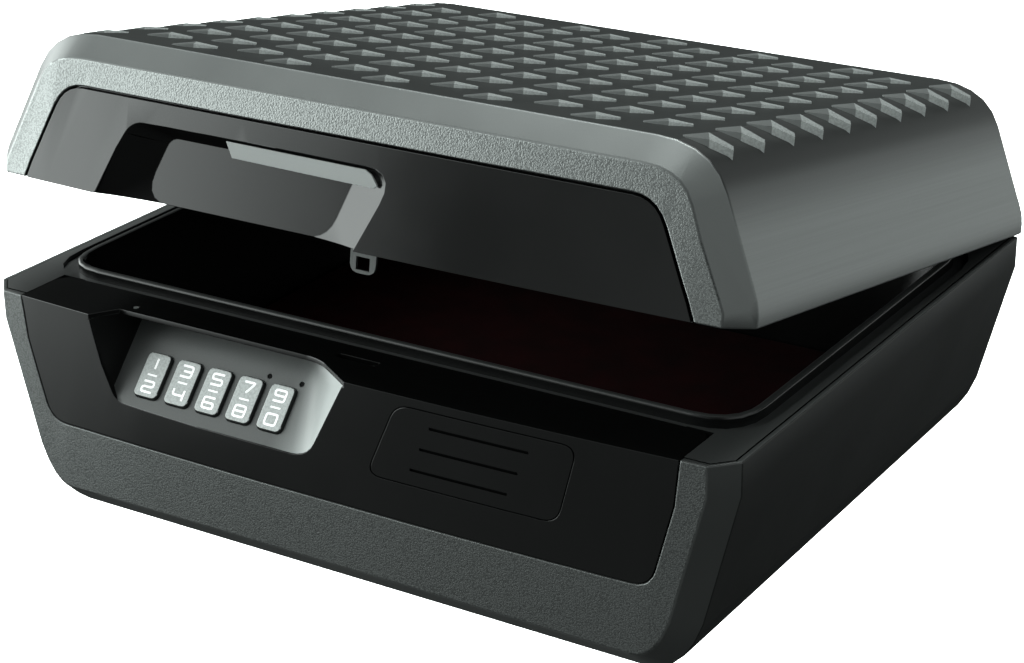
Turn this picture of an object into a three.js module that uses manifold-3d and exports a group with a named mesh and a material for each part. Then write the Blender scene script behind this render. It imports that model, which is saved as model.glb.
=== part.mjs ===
// A portable security chest: a deep base and a hinged lid, both thick-walled and filled with insulation.
// A keypad, a battery door and a motor latch are in the glossy front of the base.
// Sizes are in millimetres. X runs to the right across the front, Y to the back and Z up.
// The origin is in the middle of the flat underside, and all pieces are drawn for a closed lid.
import * as THREE from 'three';
import { ConvexGeometry } from 'three/addons/geometries/ConvexGeometry.js';
import { mergeVertices } from 'three/addons/utils/BufferGeometryUtils.js';
import Module from 'manifold-3d';

const wasm = await Module();
wasm.setup();

// Overall sizes
const bodyWidth = 406;
const bodyDepth = 316;
const baseHeight = 109;
const lidHeight = 72;
const restOpening = 10.47;

// Walls and clearances
const shellWall = 3;
const linerWall = 2.5;
const panelWall = 3;
const seam = 0.3;
const partingGap = 0.5;

// Outline of the base seen from the front, from the rim down
const baseBand = 16;
const baseKneeHeight = 28;
const baseKneeIn = 16.5;
const baseCurveIn = 26;
const baseFlatIn = 45;

// Outline of the lid seen from the front, from the rim up
const lidBand = 9;
const lidShoulderHeight = 53;
const lidShoulderIn = 19.5;
const lidCurveIn = 28;
const lidFlatIn = 54;

// The chamfer round the front face, and the outward crown of that face
const cornerCutWidth = 10.5;
const cornerCutDepth = 11.3;
const crownBulge = 6;
const crownSideIn = 13;
const baseCrownLoss = 3.3;
const lidCrownHeight = 60;
const crownStrips = 16;

// Glossy panel in the base front, from the rim down, and the ledge on top of it
const basePanelSideIn = 23.2;
const basePanelBend = 22;
const basePanelBendIn = 2.3;
const basePanelDrop = 62.5;
const basePanelFootIn = 13;
const basePanelCorner = 9;
const panelFlange = 3.5;
const panelFlangeWall = 2;
const ledgeDepth = 30;
const ledgeThickness = 2.5;
const ledgeCorner = 9;

// Keypad pocket: its mouth in the panel, its sloping floor and the cut in the ledge above it
const pocketTopLeft = -135.8;
const pocketTopRight = 14.8;
const pocketSideLeft = -130.9;
const pocketSideDrop = 21.6;
const pocketFootLeft = -121.8;
const pocketFootRight = -9;
const pocketRoundLeft = 6;
const pocketRoundRight = 9.5;
const pocketDrop = 43.5;
const pocketTilt = 42;
const pocketFloorLeft = -127.5;
const pocketFloorRight = -26;
const pocketFloorLength = 46.5;
const pocketFloorCorner = 9;
const pocketWall = 2.2;
const pocketRoofEdge = 9.8;
const pocketRoofTurn = -9.6;
const pocketRoofRound = 8;
const pocketMouthOut = 4;

// Where the keypad floor curves up into the right wall: right of the floor, out of it, and upper end
const pocketBlend = [[6, 1, 39.5], [12, 3.2, 36], [17, 5.9, 33]];

// Keys, their mat and board, and the lamps beside them
const keyCount = 5;
const keyPitch = 18.25;
const keyWidth = 13.9;
const keyLength = 22.4;
const keyCorner = 3;
const keyRise = 1.8;
const keyUp = 18.1;
const keyFlange = 1.1;
const keyTravel = 1.2;
const keyClearance = 0.35;
const lastKeyX = -34.2;
const matThickness = 1.5;
const boardThickness = 1.6;
const boardMargin = 6;
const postRadius = 2;
const lampRadius = 0.95;
const lampUp = 32.3;
const lampX = [-45, -26.5];
const ledgeLampX = -121.6;
const ledgeLampIn = 15.2;
const ledgeLampRadius = 1.3;
const ledgeLampLength = 3.5;

// Battery door, tray and cells
const doorTopLeft = 42;
const doorTopRight = 133;
const doorFootLeft = 24;
const doorFootRight = 122.5;
const doorTopDrop = 4.5;
const doorFootDrop = 43.5;
const doorCorner = 8;
const doorWall = 2.2;
const doorClearance = 0.35;
const doorSeat = 2.5;
const doorSeatWall = 2;
const doorGrooveCount = 3;
const doorGrooveLength = 50;
const doorGrooveWidth = 1.4;
const doorGrooveDepth = 0.8;
const doorGroovePitch = 11.3;
const doorGrooveShift = 5.6;
const cellRadius = 7.1;
const cellLength = 49.4;
const cellNubRadius = 2.7;
const cellNubLength = 1;
const cellPitch = 15.2;
const trayX = 78.5;
const trayWall = 1.5;
const trayBack = 22;
const contactThickness = 0.6;

// Latch: hook on the lid, slot in the ledge, bolt with its pinion and motor in the base
const latchX = 5.6;
const latchBack = 17.5;
const slotWidth = 22;
const slotDepth = 4;
const hookWidth = 14;
const hookThickness = 1.6;
const hookReach = 15;
const hookCorner = 5;
const hookFoot = 4;
const hookEyeWidth = 7.4;
const hookEyeHeight = 6;
const hookEyeUp = 1.6;
const boltWidth = 6;
const boltHeight = 4;
const boltLength = 10;
const boltGap = 1;
const pinionRadius = 4;
const shaftRadius = 1.5;
const motorWidth = 12;
const motorDepth = 9.6;
const motorHeight = 24;
const latchPlate = 1.5;
const latchFrameWidth = 23;
const latchFrameDepth = 11;

// Tub, lip, groove, rim flange and floor pad
const tubSideIn = 17.5;
const tubFrontIn = 40.5;
const tubRearIn = 35.5;
const tubCorner = 21.5;
const tubDepth = 66;
const tubDraftSide = 17.5;
const tubDraftEnd = 12;
const lipWidth = 3.5;
const lipRise = 3;
const grooveWidth = 7;
const grooveDepth = 2.5;
const rimFlange = 5;
const padThickness = 3;
const padMargin = 2;
const bayFloor = 24;
const bayDepth = 32;

// Panel in the lid front and the grip scoop in it, from the rim up
const lidPanelSideIn = 23.7;
const lidPanelGap = 1;
const lidPanelBend = 8.5;
const lidPanelBendIn = 3.4;
const lidPanelRise = 47.8;
const lidPanelHeadIn = 21.8;
const lidPanelCorner = 11;
const lidSill = 2.5;
const scoopFootLeft = -135;
const scoopFootRight = 14.6;
const scoopHeadLeft = -116.8;
const scoopHeadRight = 32.7;
const scoopRise = 38.1;
const scoopRoundLeft = 7;
const scoopRoundRight = 17;
const scoopDepth = 7;
const scoopFloorLeft = -112.4;
const scoopFloorRight = -6.5;
const scoopFloorHeadLeft = -97;
const scoopFloorHeadRight = 7.3;
const scoopFloorRise = 32.1;
const scoopFloorRoundLeft = 17;
const scoopFloorRoundRight = 12;
const scoopFloorCorner = 5;
const scoopMouthOut = 2;
const scoopBelowRim = 6.25;
const scoopWall = 2.2;

// Lid tray, gasket and filling
const lidFlange = 8;
const channelWidth = 7.5;
const channelDepth = 5.5;
const gasketWidth = 4.8;
const gasketHeight = 2.3;
const trayDraft = 12;
const trayRise = 41;
const channelLand = 2.5;

// Tread on the lid
const treadPitchX = 26.8;
const treadPitchY = 29.3;
const treadColumns = 5;
const treadShiftX = 4.9;
const treadLength = 21;
const treadWidth = 9.2;
const treadTip = 3;
const treadRise = 1.8;
const treadEndRise = 0.8;
const treadTurn = 30.5;
const treadFrontIn = 25;
const treadRearIn = 14;
const bladeRise = 3.2;
const bladeEndRise = 3.8;
const lowBladeRise = 0.8;

// Hinges
const hingeX = 120;
const hingeIn = 2;
const hingeDrop = 25;
const knuckleRadius = 5.5;
const pinRadius = 2.4;
const pinHead = 1.4;
const pinClearance = 0.3;
const armWidth = 25;
const armThickness = 7;
const armRise = 24;
const armScrewDown = 8;
const earWidth = 6;
const notchMargin = 2.4;
const notchDepth = 13;
const screwRadius = 1.6;
const screwHeadRadius = 3;
const screwHeadHeight = 1.8;
const screwLength = 8;
const screwSpread = 7;

// Places that follow from these sizes
const halfWidth = bodyWidth / 2;
const crownHalfWidth = halfWidth - crownSideIn;
const basePanelHalfWidth = halfWidth - basePanelSideIn;
const lidPanelHalfWidth = halfWidth - lidPanelSideIn;
const frontY = -bodyDepth / 2;
const rearY = bodyDepth / 2;
const rimZ = baseHeight;
const lidZ = baseHeight + partingGap;
const topZ = baseHeight + lidHeight;
const innerFrontY = frontY + shellWall;
const innerRearY = rearY - shellWall;
const hingeY = rearY - hingeIn;
const hingeZ = rimZ - hingeDrop;
const ledgeBackY = frontY + ledgeDepth;
const ledgeZ = rimZ - ledgeThickness;
const latchY = frontY + latchBack;
const flangeBackY = innerFrontY + seam + panelFlangeWall;
const trim = 25;
const curveSteps = 5;
const weld = 1e-3;

// Colours, roughness and metalness of the pieces
const shellLook = material(0x4d5152, 0.55);
const lidLook = material(0x6c7172, 0.5);
const glossLook = material(0x15181a, 0.16);
const linerLook = material(0x0d0e0f, 0.3);
const fillLook = material(0xc9c2b0, 0.95);
const feltLook = material(0x3c070b, 0.95);
const keyLook = material(0xc4c9c9, 0.45);
const rubberLook = material(0x1c1c1d, 0.85);
const boardLook = material(0x1d5a37, 0.5);
const lampLook = material(0x8a1410, 0.3);
const lensLook = material(0xa8b0b4, 0.2);
const cellLook = material(0x2c3138, 0.35);
const steelLook = material(0xa4a7a8, 0.35, 1);
const brassLook = material(0xb08d4f, 0.4, 1);

function material(color, roughness, metalness = 0) {
  return new THREE.MeshStandardMaterial({ color, roughness, metalness });
}

// Turns a closed geometry into a solid that can be joined and cut.
function solid(geometry) {
  const bare = geometry.clone();
  bare.deleteAttribute('normal');
  bare.deleteAttribute('uv');
  const merged = mergeVertices(bare, weld);
  const vertProperties = new Float32Array(merged.attributes.position.array);
  const triVerts = new Uint32Array(merged.index.array);
  return new wasm.Manifold(new wasm.Mesh({ numProp: 3, vertProperties, triVerts }));
}

function join(first, ...others) {
  return others.reduce((whole, piece) => whole.add(piece), first);
}

function cut(first, ...others) {
  return others.reduce((whole, piece) => whole.subtract(piece), first);
}

function common(first, ...others) {
  return others.reduce((whole, piece) => whole.intersect(piece), first);
}

function box(low, high) {
  const size = high.map((value, axis) => value - low[axis]);
  const middle = high.map((value, axis) => (value + low[axis]) / 2);
  return solid(new THREE.BoxGeometry(...size).translate(...middle));
}

function turnedSolid(piece, angleX, x, y, z) {
  const geometry = geometryOf(piece);
  return solid(geometry.rotateX(angleX).translate(x, y, z));
}

function geometryOf(piece) {
  const mesh = piece.getMesh();
  const geometry = new THREE.BufferGeometry();
  geometry.setAttribute('position', new THREE.BufferAttribute(new Float32Array(mesh.vertProperties), 3));
  geometry.setIndex(new THREE.BufferAttribute(new Uint32Array(mesh.triVerts), 1));
  return geometry;
}

// Moves each side of an anticlockwise outline outwards by the same amount.
function grow(points, amount) {
  return points.map(([x, y, round = 0], index) => {
    const before = points.at(index - 1);
    const after = points[(index + 1) % points.length];
    const along = new THREE.Vector2(x - before[0], y - before[1]).normalize();
    const onward = new THREE.Vector2(after[0] - x, after[1] - y).normalize();
    const outward = new THREE.Vector2(along.y + onward.y, -along.x - onward.x);
    outward.multiplyScalar(amount / (1 + along.dot(onward)));
    return [x + outward.x, y + outward.y, Math.max(0, round + Math.sign(round) * amount)];
  });
}

// An outline of corners, each given as its place and how far its rounding reaches.
function outline(points) {
  const shape = new THREE.Shape();
  points.forEach(([x, y, round = 0], index) => {
    const corner = new THREE.Vector2(x, y);
    const before = new THREE.Vector2(...points.at(index - 1)).sub(corner).normalize();
    const after = new THREE.Vector2(...points[(index + 1) % points.length]).sub(corner).normalize();
    const start = before.multiplyScalar(round).add(corner);
    const end = after.multiplyScalar(round).add(corner);
    if (index === 0) shape.moveTo(start.x, start.y);
    else shape.lineTo(start.x, start.y);
    if (round > 0) shape.quadraticCurveTo(x, y, end.x, end.y);
  });
  shape.closePath();
  return shape;
}

function extruded(points, length) {
  const settings = { depth: length, bevelEnabled: false, curveSegments: curveSteps };
  return new THREE.ExtrudeGeometry(outline(points), settings);
}

// An outline in X and Z, made solid from a front Y to a back Y.
function standing(points, lowY, highY) {
  return solid(extruded(points, highY - lowY).rotateX(Math.PI / 2).translate(0, highY, 0));
}

// An outline in X and Y, made solid from a low Z to a high Z.
function lying(points, lowZ, highZ) {
  return solid(extruded(points, highZ - lowZ).translate(0, 0, lowZ));
}

// An outline in Y and Z, made solid from a left X to a right X.
function sideways(points, lowX, highX) {
  const turn = new THREE.Matrix4().makeBasis(
    new THREE.Vector3(0, 1, 0), new THREE.Vector3(0, 0, 1), new THREE.Vector3(1, 0, 0));
  return solid(extruded(points, highX - lowX).applyMatrix4(turn).translate(lowX, 0, 0));
}

function rectangle(lowX, lowY, highX, highY, round = 0) {
  return [[lowX, lowY, round], [highX, lowY, round], [highX, highY, round], [lowX, highY, round]];
}

// A rod along X, Y or Z, centred on a point.
function rod(axis, radius, length, x, y, z, sides = 20) {
  const geometry = new THREE.CylinderGeometry(radius, radius, length, sides);
  if (axis === 'x') geometry.rotateZ(Math.PI / 2);
  if (axis === 'z') geometry.rotateX(Math.PI / 2);
  return solid(geometry.translate(x, y, z));
}

// A solid through level rings of points, each anticlockwise from above, from the lowest ring up.
function loft(rings) {
  const count = rings[0].length;
  const position = rings.flat().flatMap((point) => [point.x, point.y, point.z]);
  const index = [];
  for (let level = 0; level < rings.length - 1; level += 1) {
    for (let step = 0; step < count; step += 1) {
      const near = level * count + step;
      const next = level * count + (step + 1) % count;
      index.push(near, next, next + count, near, next + count, near + count);
    }
  }
  const flat = rings.map((ring) => ring.map((point) => new THREE.Vector2(point.x, point.y)));
  const last = (rings.length - 1) * count;
  for (const [a, b, c] of THREE.ShapeUtils.triangulateShape(flat[0], [])) index.push(c, b, a);
  for (const [a, b, c] of THREE.ShapeUtils.triangulateShape(flat.at(-1), [])) {
    index.push(last + a, last + b, last + c);
  }
  const geometry = new THREE.BufferGeometry();
  geometry.setAttribute('position', new THREE.Float32BufferAttribute(position, 3));
  geometry.setIndex(index);
  return solid(geometry);
}

// The places along a rounded outline, each once.
function outlinePoints(points) {
  const flat = outline(points).getPoints(curveSteps);
  if (flat[0].distanceTo(flat.at(-1)) < weld) flat.pop();
  return flat;
}

function ringOf(points, z) {
  return outlinePoints(points).map(({ x, y }) => new THREE.Vector3(x, y, z));
}

// All space behind the crowned front face. Each level is a height with the bulge that the face has there.
function behindFront(levels, setBack = 0, rear = rearY) {
  const wide = halfWidth + trim;
  const rings = levels.map(([z, bulge]) => {
    const ring = [new THREE.Vector3(-wide, frontY + setBack, z)];
    for (let strip = 0; strip <= crownStrips; strip += 1) {
      const across = 2 * strip / crownStrips - 1;
      const forward = bulge * (1 - across * across);
      ring.push(new THREE.Vector3(across * crownHalfWidth, frontY + setBack - forward, z));
    }
    ring.push(new THREE.Vector3(wide, frontY + setBack, z));
    ring.push(new THREE.Vector3(wide, rear, z), new THREE.Vector3(-wide, rear, z));
    return ring;
  });
  return loft(rings);
}

function baseFront(setBack, rear) {
  return behindFront([[0, crownBulge - baseCrownLoss], [rimZ, crownBulge]], setBack, rear);
}

function lidFront(setBack, rear) {
  const levels = [[lidZ, crownBulge], [rimZ + lidCrownHeight, 0], [topZ + trim, 0]];
  return behindFront(levels, setBack, rear);
}

// The body runs straight back from a chamfer that narrows it towards the front.
function bodyBlock(section) {
  const cutDepth = cornerCutDepth + crownBulge + seam;
  const cutWidth = cornerCutWidth * cutDepth / cornerCutDepth;
  const geometry = new THREE.ExtrudeGeometry(section, {
    depth: bodyDepth, bevelThickness: cutDepth, bevelSize: cutWidth, bevelOffset: -cutWidth,
    bevelSegments: 1, curveSegments: curveSteps,
  });
  return solid(geometry.rotateX(Math.PI / 2).translate(0, rearY + cornerCutDepth, 0));
}

function baseSection(inset) {
  const half = halfWidth - inset;
  const shape = new THREE.Shape();
  shape.moveTo(baseFlatIn - half, inset);
  shape.lineTo(half - baseFlatIn, inset);
  shape.quadraticCurveTo(half - baseCurveIn, inset, half - baseKneeIn, baseKneeHeight);
  shape.lineTo(half, rimZ - baseBand);
  shape.lineTo(half, rimZ + trim);
  shape.lineTo(-half, rimZ + trim);
  shape.lineTo(-half, rimZ - baseBand);
  shape.lineTo(baseKneeIn - half, baseKneeHeight);
  shape.quadraticCurveTo(baseCurveIn - half, inset, baseFlatIn - half, inset);
  return shape;
}

function lidSection(inset) {
  const half = halfWidth - inset;
  const top = topZ - inset;
  const shoulder = rimZ + lidShoulderHeight;
  const shape = new THREE.Shape();
  shape.moveTo(-half, rimZ - trim);
  shape.lineTo(half, rimZ - trim);
  shape.lineTo(half, rimZ + lidBand);
  shape.lineTo(half - lidShoulderIn, shoulder);
  shape.quadraticCurveTo(half - lidCurveIn, top, half - lidFlatIn, top);
  shape.lineTo(lidFlatIn - half, top);
  shape.quadraticCurveTo(lidCurveIn - half, top, lidShoulderIn - half, shoulder);
  shape.lineTo(-half, rimZ + lidBand);
  return shape;
}

// Outlines that several pieces share
const basePanelOutline = [
  [-basePanelHalfWidth + basePanelFootIn, rimZ - basePanelDrop, basePanelCorner],
  [basePanelHalfWidth - basePanelFootIn, rimZ - basePanelDrop, basePanelCorner],
  [basePanelHalfWidth - basePanelBendIn, rimZ - basePanelBend, 0],
  [basePanelHalfWidth, rimZ, 0],
  [basePanelHalfWidth, rimZ + trim, 0],
  [-basePanelHalfWidth, rimZ + trim, 0],
  [-basePanelHalfWidth, rimZ, 0],
  [-basePanelHalfWidth + basePanelBendIn, rimZ - basePanelBend, 0],
];
const lidPanelOutline = [
  [-lidPanelHalfWidth, rimZ - trim, 0],
  [lidPanelHalfWidth, rimZ - trim, 0],
  [lidPanelHalfWidth, rimZ, 0],
  [lidPanelHalfWidth - lidPanelBendIn, rimZ + lidPanelBend, 0],
  [lidPanelHalfWidth - lidPanelHeadIn, rimZ + lidPanelRise, lidPanelCorner],
  [-lidPanelHalfWidth + lidPanelHeadIn, rimZ + lidPanelRise, lidPanelCorner],
  [-lidPanelHalfWidth + lidPanelBendIn, rimZ + lidPanelBend, 0],
  [-lidPanelHalfWidth, rimZ, 0],
];
const doorOutline = [
  [doorFootLeft, rimZ - doorFootDrop, doorCorner],
  [doorFootRight, rimZ - doorFootDrop, doorCorner],
  [doorTopRight, rimZ - doorTopDrop, doorCorner],
  [doorTopLeft, rimZ - doorTopDrop, doorCorner],
];
const tubOutline = rectangle(
  -halfWidth + tubSideIn, frontY + tubFrontIn, halfWidth - tubSideIn, rearY - tubRearIn, tubCorner);
const hingePlaces = [['left', -hingeX], ['right', hingeX]];

const notchHalf = armWidth / 2 + seam + earWidth + notchMargin;
const notchFloorZ = hingeZ - knuckleRadius - notchDepth / 2;

function hingeNotch(x, margin) {
  const low = [x - notchHalf - margin, rearY - notchDepth - margin, notchFloorZ - margin];
  return box(low, [x + notchHalf + margin, rearY + trim, rimZ + trim]);
}

// Rim flange of the base: inside the shell, and round the ledge at the front
function rimPlate() {
  const side = halfWidth - shellWall - seam;
  const front = innerFrontY + seam;
  const inner = basePanelHalfWidth + seam;
  const plate = lying([
    [-side, frontY + cornerCutDepth],
    [-side + cornerCutWidth - shellWall, front],
    [side - cornerCutWidth + shellWall, front],
    [side, frontY + cornerCutDepth],
    [side, innerRearY - seam],
    [-side, innerRearY - seam],
  ], rimZ - rimFlange, rimZ);
  return cut(plate, box([-inner, frontY, 0], [inner, ledgeBackY + seam, rimZ + trim]));
}

function baseShell() {
  const inside = common(
    bodyBlock(baseSection(shellWall)),
    box([-halfWidth, innerFrontY, shellWall], [halfWidth, innerRearY, rimZ + trim]));
  let shell = cut(common(bodyBlock(baseSection(0)), baseFront()), inside);
  for (const [, x] of hingePlaces) {
    const block = common(hingeNotch(x, shellWall), box([-halfWidth, 0, 0], [halfWidth, rearY, rimZ]));
    shell = cut(join(shell, block), hingeNotch(x, 0));
  }
  const opening = standing(grow(basePanelOutline, seam), frontY - trim, innerFrontY + seam);
  return cut(shell, opening);
}

// An outline of the tub drawn in towards the middle, by one amount at the sides and one at the ends.
function drawnIn(points, side, end) {
  return points.map(([x, y, round]) => [x - Math.sign(x) * side, y - Math.sign(y) * end, round]);
}

// The tub as a lofted cup that narrows towards its floor.
function tub(margin) {
  const floor = grow(drawnIn(tubOutline, tubDraftSide, tubDraftEnd), margin);
  return loft([
    ringOf(floor, rimZ - tubDepth - margin), ringOf(grow(tubOutline, margin), rimZ + lipRise + seam)]);
}

function baseLiner() {
  const lipOutline = grow(tubOutline, lipWidth);
  const groove = lying(grow(lipOutline, grooveWidth), rimZ - grooveDepth, rimZ + trim);
  const lip = lying(lipOutline, rimZ - rimFlange, rimZ + lipRise);
  const wall = common(tub(linerWall), box([-halfWidth, frontY, 0], [halfWidth, rearY, rimZ - grooveDepth]));
  let liner = join(cut(rimPlate(), groove), lip, wall);
  for (const [, x] of hingePlaces) liner = cut(liner, hingeNotch(x, shellWall + seam));
  return cut(liner, tub(0));
}

function baseInsulation() {
  const top = rimZ - rimFlange - seam;
  const inset = shellWall + seam;
  let filling = common(
    bodyBlock(baseSection(inset)),
    box([-halfWidth, innerFrontY + seam, inset], [halfWidth, innerRearY - seam, top]));
  for (const [, x] of hingePlaces) filling = cut(filling, hingeNotch(x, inset));
  const bayHalf = basePanelHalfWidth + panelFlange + seam;
  const bay = box([-bayHalf, frontY, bayFloor], [bayHalf, frontY + bayDepth, rimZ]);
  return cut(filling, tub(linerWall + seam), bay);
}

function floorPad() {
  const floorZ = rimZ - tubDepth + seam;
  const edge = drawnIn(tubOutline, tubDraftSide + padMargin, tubDraftEnd + padMargin);
  return lying(edge, floorZ, floorZ + padThickness);
}

// The glossy skin of a front panel, with a skirt round its edge and a flange behind the shell.
function panelSkin(points, front, keep, keepFlange = keep) {
  const body = common(standing(points, frontY - trim, flangeBackY), front(0), keep);
  const hollow = common(standing(grow(points, -panelWall), frontY - trim, rearY), front(panelWall), keep);
  const flange = cut(
    standing(grow(points, panelFlange), innerFrontY + seam, flangeBackY),
    standing(grow(points, -panelWall), frontY, rearY));
  return join(cut(body, hollow), common(flange, keepFlange));
}

// Frame of the keypad floor: X across, Y up the slope and Z out of the floor.
const floorTurn = THREE.MathUtils.degToRad(90 - pocketTilt);
const pocketMouthY = frontY - pocketMouthOut;
const pocketFootZ = rimZ - pocketDrop;

function onFloor(x, up, out) {
  const tilt = THREE.MathUtils.degToRad(pocketTilt);
  const y = pocketMouthY + up * Math.sin(tilt) - out * Math.cos(tilt);
  const z = pocketFootZ + up * Math.cos(tilt) + out * Math.sin(tilt);
  return new THREE.Vector3(x, y, z);
}

const pocketMouth = [
  [pocketFootLeft, pocketFootZ, pocketRoundLeft],
  [pocketFootRight, pocketFootZ, pocketRoundRight],
  [pocketTopRight, rimZ, 0],
  [pocketTopLeft, rimZ, 0],
  [pocketSideLeft, rimZ - pocketSideDrop, 0],
];

// The keypad pocket as a convex space, or the larger one that its wall takes up.
function pocketSpace(margin) {
  const mouth = grow(pocketMouth, margin);
  const left = pocketFloorLeft - margin;
  const right = pocketFloorRight + margin;
  const top = pocketFloorLength + margin;
  const roofZ = ledgeZ + (margin > 0 ? ledgeThickness / 2 : 0);
  const points = outlinePoints(mouth).map(({ x, y }) => {
    return new THREE.Vector3(x, pocketMouthY, Math.min(y, roofZ));
  });
  points.push(onFloor(left, pocketFloorCorner, -margin), onFloor(right, pocketFloorCorner, -margin));
  points.push(onFloor(left, top, -margin), onFloor(right, top, -margin));
  points.push(onFloor(pocketFootLeft + pocketRoundLeft, 0, -margin));
  points.push(onFloor(pocketFootRight - pocketRoundRight, 0, -margin));
  for (const [across, out, high] of pocketBlend) {
    points.push(onFloor(right + across, pocketFloorCorner, out - margin));
    points.push(onFloor(right + across, high, out - margin));
  }
  const backY = onFloor(0, top, -margin).y;
  points.push(new THREE.Vector3(left, backY, roofZ), new THREE.Vector3(right, backY, roofZ));
  const space = solid(new ConvexGeometry(points));
  const ahead = common(
    standing(mouth, frontY - trim, pocketMouthY),
    box([-halfWidth, frontY - trim, 0], [halfWidth, 0, roofZ]));
  return join(space, ahead);
}

// In front of the keypad the ledge is cut back.
function ledgeCut() {
  const back = frontY + pocketRoofEdge;
  return lying([
    [pocketTopLeft, frontY - trim],
    [pocketTopRight, frontY - trim],
    [pocketTopRight, frontY - crownBulge],
    [pocketRoofTurn, back, pocketRoofRound],
    [pocketFloorLeft, back],
    [pocketTopLeft, frontY - crownBulge / 2],
  ], ledgeZ - seam, rimZ + trim);
}

const keyPlaces = Array.from({ length: keyCount }, (_, key) => lastKeyX - (keyCount - 1 - key) * keyPitch);
const boardTop = -pocketWall - seam - keyFlange - keyTravel - matThickness - 2 * seam;
const boardLow = keyUp - keyLength / 2 - boardMargin;
const boardHigh = lampUp + boardMargin;
const boardLeft = keyPlaces[0] - keyWidth / 2 - boardMargin;
const boardRight = lampX[1] + boardMargin / 2;

function keyOutline(x, margin) {
  const across = keyWidth / 2 + margin;
  const along = keyLength / 2 + margin;
  return rectangle(x - across, keyUp - along, x + across, keyUp + along, keyCorner + margin);
}

// Holes through the keypad floor and posts behind it, in the frame of the floor.
function floorHoles() {
  const depth = pocketWall + panelWall;
  const holes = keyPlaces.map((x) => lying(keyOutline(x, keyClearance), -depth, depth));
  const lamps = lampX.map((x) => rod('z', lampRadius + seam, 2 * depth, x, lampUp, 0));
  return join(...holes, ...lamps);
}

function floorPosts() {
  const low = boardTop + seam;
  const high = -pocketWall / 2;
  const corners = rectangle(boardLeft, boardLow, boardRight, boardHigh);
  const posts = corners.map(([x, up]) => {
    const inX = x - Math.sign(x - keyPlaces[2]) * postRadius;
    const inUp = up - Math.sign(up - keyUp) * postRadius;
    return rod('z', postRadius, high - low, inX, inUp, (high + low) / 2, 12);
  });
  return join(...posts);
}

function ontoFloor(piece) {
  return turnedSolid(piece, floorTurn, 0, pocketMouthY, pocketFootZ);
}

const trayLength = 2 * (cellLength + cellNubLength) + 4 * contactThickness + 4 * seam;
const trayHeight = cellPitch + 2 * cellRadius + 2 * seam;
const trayZ = rimZ - (doorTopDrop + doorFootDrop) / 2;
const trayFrontY = frontY + panelWall;
const trayBackY = frontY + trayBack;

function doorSeatRing() {
  return common(
    standing(grow(doorOutline, doorSeatWall), frontY - trim, rearY),
    cut(baseFront(doorWall + seam), baseFront(panelWall + doorSeatWall)));
}

function baseFrontPanel() {
  const keep = box([-halfWidth, frontY - trim, 0], [halfWidth, rearY, rimZ]);
  const underRim = box([-halfWidth, frontY - trim, 0], [halfWidth, rearY, rimZ - rimFlange - seam]);
  const skin = panelSkin(basePanelOutline, baseFront, keep, underRim);
  const half = basePanelHalfWidth;
  const ledge = common(lying([
    [-half, frontY - trim, 0],
    [half, frontY - trim, 0],
    [half, ledgeBackY, ledgeCorner],
    [-half, ledgeBackY, ledgeCorner],
  ], ledgeZ, rimZ), baseFront(0));
  const slot = box(
    [latchX - slotWidth / 2, latchY - slotDepth / 2, ledgeZ - seam],
    [latchX + slotWidth / 2, latchY + slotDepth / 2, rimZ + seam]);
  const lampHole = rod('z', ledgeLampRadius + seam, trim, ledgeLampX, frontY + ledgeLampIn, rimZ);
  const pocketShell = common(pocketSpace(pocketWall), baseFront(seam), keep);
  const doorHole = standing(grow(doorOutline, -doorSeat), frontY - trim, frontY + trim);
  const doorRecess = cut(
    standing(doorOutline, frontY - trim, frontY + trim), baseFront(doorWall + seam));
  return cut(
    join(skin, ledge, pocketShell, doorSeatRing(), ontoFloor(floorPosts())),
    pocketSpace(0), ledgeCut(), slot, lampHole, doorRecess, doorHole, ontoFloor(floorHoles()));
}

function keyCap(x) {
  const flangeTop = -pocketWall - seam;
  const cap = lying(keyOutline(x, 0), flangeTop - keyFlange / 2, keyRise);
  return join(cap, lying(keyOutline(x, keyFlange), flangeTop - keyFlange, flangeTop));
}

function keypadMat() {
  const low = boardTop + seam;
  const edge = (keyPitch - seam) / 2;
  const first = keyPlaces[0] - edge;
  return lying(rectangle(first, keyUp - keyLength / 2, lastKeyX + edge, keyUp + keyLength / 2, keyCorner),
    low, low + matThickness);
}

function keypadBoard() {
  return lying(rectangle(boardLeft, boardLow, boardRight, boardHigh), boardTop - boardThickness, boardTop);
}

function statusLamp(x) {
  const low = boardTop + seam;
  const high = -seam;
  return rod('z', lampRadius, high - low, x, lampUp, (low + high) / 2, 16);
}

function ledgeLamp() {
  const middleZ = rimZ - ledgeLampLength / 2;
  return rod('z', ledgeLampRadius, ledgeLampLength, ledgeLampX, frontY + ledgeLampIn, middleZ, 16);
}

function batteryDoor() {
  const fit = grow(doorOutline, -doorClearance);
  const skin = common(standing(fit, frontY - trim, rearY), cut(baseFront(0), baseFront(doorWall)));
  const grooves = Array.from({ length: doorGrooveCount }, (_, row) => {
    const middle = (doorGrooveCount - 1) / 2 - row;
    const x = trayX + middle * doorGrooveShift;
    const z = trayZ + middle * doorGroovePitch;
    return standing(rectangle(
      x - doorGrooveLength / 2, z - doorGrooveWidth / 2, x + doorGrooveLength / 2, z + doorGrooveWidth / 2),
    frontY - trim, rearY);
  });
  return cut(skin, cut(join(...grooves), baseFront(doorGrooveDepth)));
}

function batteryTray() {
  const half = trayLength / 2;
  const high = trayHeight / 2;
  const outer = box(
    [trayX - half - trayWall, trayFrontY, trayZ - high - trayWall],
    [trayX + half + trayWall, trayBackY, trayZ + high + trayWall]);
  const inner = box(
    [trayX - half, trayFrontY - trim, trayZ - high], [trayX + half, trayBackY - trayWall, trayZ + high]);
  return cut(outer, inner);
}

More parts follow.
